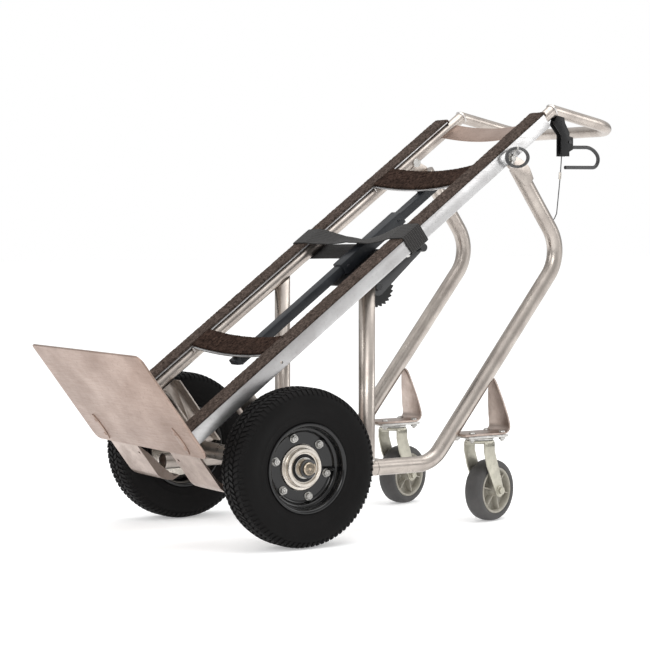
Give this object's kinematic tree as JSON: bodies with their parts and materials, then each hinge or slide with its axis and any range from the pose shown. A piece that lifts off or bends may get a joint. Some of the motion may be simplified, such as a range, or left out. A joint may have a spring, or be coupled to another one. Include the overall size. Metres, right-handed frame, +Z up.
{
  "type": "convertible hand truck",
  "caption": "Aluminium convertible hand truck in its cart position, with pneumatic wheels, swivel casters, carpeted rails and a ratchet strap.",
  "frame": {"origin": "centre of the bounding box at floor level, under the four wheels", "axes": "-Y is the toe plate end, +Z is up, +X is the side that carries the release lever"},
  "size_m": [0.58, 1.2195, 0.8814],
  "materials": {
    "aluminium_mill": "satin",
    "aluminium_plate": "satin",
    "carpet_rail": "matte",
    "carpet_bar": "matte",
    "webbing": "matte",
    "column_coated": "semi-gloss",
    "steel_black": "semi-gloss",
    "steel_zinc": "satin",
    "steel_machined": "turned",
    "fork_zinc": "satin",
    "tyre_rubber": "matte",
    "rim_gloss": "gloss",
    "caster_rubber": "matte",
    "caster_core": "satin",
    "lever_coated": "semi-gloss",
    "handle_tube": "satin"
  },
  "bodies": {
    "chassis": {"toe_plate": "aluminium_plate", "rail_angle_r": "aluminium_mill", "rail_angle_l": "aluminium_mill", "rail_tube_r": "aluminium_mill", "rail_tube_l": "aluminium_mill", "rail_carpet_r": "carpet_rail", "rail_carpet_l": "carpet_rail", "lower_bar": "aluminium_mill", "lower_bar_carpet": "carpet_bar", "upper_bar": "aluminium_mill", "upper_bar_carpet": "carpet_bar", "top_bar": "aluminium_mill", "handle_loop": "handle_tube", "column": "column_coated", "strap_keeper": "steel_black", "axle_tube": "aluminium_mill", "axle": "steel_zinc", "axle_strut_r": "aluminium_mill", "axle_strut_l": "aluminium_mill", "heel_bracket_r": "aluminium_mill", "heel_bracket_l": "aluminium_mill", "bottom_tube_r": "aluminium_mill", "bottom_tube_l": "aluminium_mill", "post_r": "aluminium_mill", "post_l": "aluminium_mill", "pivot_pin_r": "steel_zinc", "pivot_pin_l": "steel_zinc", "release_bracket": "steel_zinc"},
    "strap_carriage": {"strap_sleeve": "steel_zinc", "ratchet_frame": "steel_zinc", "strap": "webbing", "strap_hook": "steel_zinc"},
    "ratchet_reel": {"ratchet_spool": "steel_black"},
    "ratchet_arm": {"ratchet_lever": "steel_black"},
    "wheel_r": {"tyre_r": "tyre_rubber", "rim_r": "rim_gloss", "hub_r": "steel_machined"},
    "wheel_l": {"tyre_l": "tyre_rubber", "rim_l": "rim_gloss", "hub_l": "steel_machined"},
    "caster_frame": {"caster_leg_r": "aluminium_mill", "caster_leg_l": "aluminium_mill", "caster_bracket_r": "steel_zinc", "caster_bracket_l": "steel_zinc", "caster_plate_r": "steel_zinc", "caster_plate_l": "steel_zinc", "leg_cross_tube": "aluminium_mill", "release_cable": "steel_black"},
    "latch_r": {"latch_plunger_r": "steel_zinc"},
    "latch_l": {"latch_plunger_l": "steel_zinc"},
    "swivel_r": {"caster_fork_r": "fork_zinc"},
    "swivel_l": {"caster_fork_l": "fork_zinc"},
    "caster_wheel_r": {"caster_tread_r": "caster_rubber", "caster_core_r": "caster_core"},
    "caster_wheel_l": {"caster_tread_l": "caster_rubber", "caster_core_l": "caster_core"},
    "snap_ring_r": {"pin_ring_r": "steel_black"},
    "snap_ring_l": {"pin_ring_l": "steel_black"},
    "release_hand_lever": {"release_lever": "lever_coated"}
  },
  "joints": [
    {"name": "wheel_r_spin", "type": "hinge", "parent": "chassis", "child": "wheel_r", "pos_m": [0.246, -0.26704, 0.156], "axis": [1, 0, 0], "continuous": true},
    {"name": "wheel_l_spin", "type": "hinge", "parent": "chassis", "child": "wheel_l", "pos_m": [-0.246, -0.26704, 0.156], "axis": [1, 0, 0], "continuous": true},
    {"name": "caster_frame_fold", "type": "hinge", "parent": "chassis", "child": "caster_frame", "pos_m": [0, 0.28629, 0.76299], "axis": [1, 0, 0], "range_deg": [0, 20], "deforming": ["release_cable"]},
    {"name": "latch_r_draw", "type": "slide", "parent": "caster_frame", "child": "latch_r", "axis": [0, 1, 0], "range_m": [0, 0.012]},
    {"name": "caster_r_swivel", "type": "hinge", "parent": "caster_frame", "child": "swivel_r", "pos_m": [0.162, 0.23096, 0.16], "axis": [0, 0, 1], "continuous": true},
    {"name": "caster_r_roll", "type": "hinge", "parent": "swivel_r", "child": "caster_wheel_r", "pos_m": [0.15235, 0.26461, 0.065], "axis": [0.9613, 0.2756, 0], "continuous": true},
    {"name": "latch_l_draw", "type": "slide", "parent": "caster_frame", "child": "latch_l", "axis": [0, 1, 0], "range_m": [0, 0.012]},
    {"name": "caster_l_swivel", "type": "hinge", "parent": "caster_frame", "child": "swivel_l", "pos_m": [-0.162, 0.23096, 0.16], "axis": [0, 0, 1], "continuous": true},
    {"name": "caster_l_roll", "type": "hinge", "parent": "swivel_l", "child": "caster_wheel_l", "pos_m": [-0.17165, 0.26461, 0.065], "axis": [0.9613, 0.2756, 0], "continuous": true},
    {"name": "strap_height", "type": "slide", "parent": "chassis", "child": "strap_carriage", "axis": [0, 0.8035, 0.5952], "range_m": [-0.055, 0.06]},
    {"name": "ratchet_turn", "type": "hinge", "parent": "strap_carriage", "child": "ratchet_reel", "pos_m": [0.112, 0.0018, 0.49687], "axis": [1, 0, 0], "continuous": true},
    {"name": "ratchet_lever_swing", "type": "hinge", "parent": "strap_carriage", "child": "ratchet_arm", "pos_m": [0.112, 0.0018, 0.49687], "axis": [1, 0, 0], "range_deg": [-70, 0]},
    {"name": "ring_r_flip", "type": "hinge", "parent": "chassis", "child": "snap_ring_r", "pos_m": [0.2082, 0.292, 0.78444], "axis": [0, 1, 0], "range_deg": [-100, 0]},
    {"name": "ring_l_flip", "type": "hinge", "parent": "chassis", "child": "snap_ring_l", "pos_m": [-0.2082, 0.292, 0.78444], "axis": [0, 1, 0], "range_deg": [0, 100]},
    {"name": "release_squeeze", "type": "hinge", "parent": "chassis", "child": "release_hand_lever", "pos_m": [0.164, 0.46096, 0.802], "axis": [1, 0, 0], "range_deg": [-25, 0], "stiffness_Nm_per_rad": 1.2}
  ],
  "couplings": [
    {"joint": "latch_r_draw", "follows": "release_squeeze", "m_per_rad": -0.0275},
    {"joint": "latch_l_draw", "follows": "release_squeeze", "m_per_rad": -0.0275}
  ]
}
